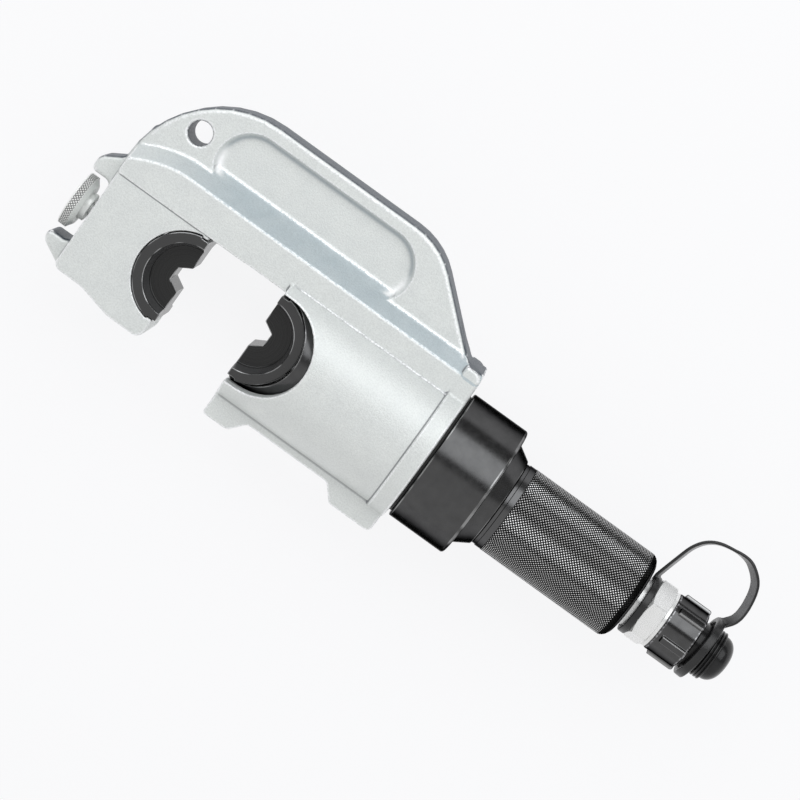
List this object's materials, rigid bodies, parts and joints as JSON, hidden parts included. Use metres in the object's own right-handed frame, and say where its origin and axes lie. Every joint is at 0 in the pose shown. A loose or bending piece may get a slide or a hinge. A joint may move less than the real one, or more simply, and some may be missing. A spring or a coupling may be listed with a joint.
{
  "type": "hydraulic crimping head",
  "caption": "Remote hydraulic crimping head: a C-shaped frame with half-round hexagon dies, a spring-return ram, a knurled handle and a hose coupler with a tethered plug.",
  "frame": {"origin": "middle of the fixed die's crimping face, on the ram's axis", "axes": "+X along the ram towards the hose end, +Y towards the closed spine of the frame, +Z square to the frame, up as the tool lies flat"},
  "size_m": [0.4013, 0.1385, 0.0792],
  "materials": {
    "frame_metal": "satin plated, fine blasted grain",
    "black_steel": "black oxide",
    "bright_steel": "bright nickel",
    "spring_steel": "drawn wire",
    "handle_metal": "black anodised, diamond knurl",
    "collar_metal": "black anodised",
    "seal_rubber": "matt",
    "guide_plastic": "matt",
    "plug_rubber": "semi-matt"
  },
  "bodies": {
    "frame": {"c_frame": "frame_metal", "frame_barrel": "frame_metal", "ram_wiper": "seal_rubber", "end_cap": "black_steel", "cap_seal_ring": "seal_rubber", "cap_o_ring": "seal_rubber", "spring_anchor": "bright_steel", "return_spring": "spring_steel", "handle": "handle_metal", "handle_set_screw": "black_steel", "oil_tube": "bright_steel", "coupler_body": "bright_steel", "thrust_ring": "bright_steel", "collar_clip": "spring_steel", "valve_spring": "spring_steel", "plug_tether": "plug_rubber"},
    "ram": {"ram": "black_steel", "ram_seal": "seal_rubber", "ram_backup_ring": "guide_plastic", "spring_pin": "bright_steel", "die_ball_spring": "spring_steel"},
    "moving_die": {"moving_die": "black_steel"},
    "die_ball": {"die_ball": "bright_steel"},
    "fixed_die": {"fixed_die": "black_steel"},
    "thumb_screw": {"thumb_screw": "bright_steel"},
    "thumb_knob": {"thumb_knob": "bright_steel"},
    "collar": {"coupler_collar": "collar_metal"},
    "valve_poppet": {"valve_poppet": "bright_steel"},
    "dust_plug": {"dust_plug": "plug_rubber"}
  },
  "joints": [
    {"name": "ram_stroke", "type": "slide", "parent": "frame", "child": "ram", "axis": [-1, 0, 0], "range_m": [0, 0.0436], "stiffness_N_per_m": 4000, "springref_m": -0.01, "deforming": ["return_spring"]},
    {"name": "moving_die_slide", "type": "slide", "parent": "ram", "child": "moving_die", "axis": [0, 0, 1], "range_m": [-0.052, 0.052]},
    {"name": "die_ball_press", "type": "slide", "parent": "ram", "child": "die_ball", "axis": [1, 0, 0], "range_m": [0, 0.0008], "stiffness_N_per_m": 60, "springref_m": -0.002, "deforming": ["die_ball_spring"]},
    {"name": "fixed_die_slide", "type": "slide", "parent": "frame", "child": "fixed_die", "axis": [0, 0, 1], "range_m": [-0.043, 0.043]},
    {"name": "thumb_screw_travel", "type": "slide", "parent": "frame", "child": "thumb_screw", "axis": [-1, 0, 0], "range_m": [0, 0.008]},
    {"name": "thumb_screw_turn", "type": "hinge", "parent": "thumb_screw", "child": "thumb_knob", "pos_m": [-0.0672, 0, 0], "axis": [-1, 0, 0], "range_deg": [0, 2310]},
    {"name": "collar_spin", "type": "hinge", "parent": "frame", "child": "collar", "pos_m": [0.301, 0, 0], "axis": [1, 0, 0], "continuous": true},
    {"name": "valve_push", "type": "slide", "parent": "frame", "child": "valve_poppet", "axis": [-1, 0, 0], "range_m": [0, 0.003], "stiffness_N_per_m": 500, "springref_m": -0.002, "deforming": ["valve_spring"]},
    {"name": "dust_plug_pull", "type": "slide", "parent": "frame", "child": "dust_plug", "axis": [1, 0, 0], "range_m": [0, 0.016], "deforming": ["plug_tether"]}
  ],
  "couplings": [
    {"joint": "thumb_screw_turn", "follows": "thumb_screw_travel", "rad_per_m": 5026.5}
  ]
}
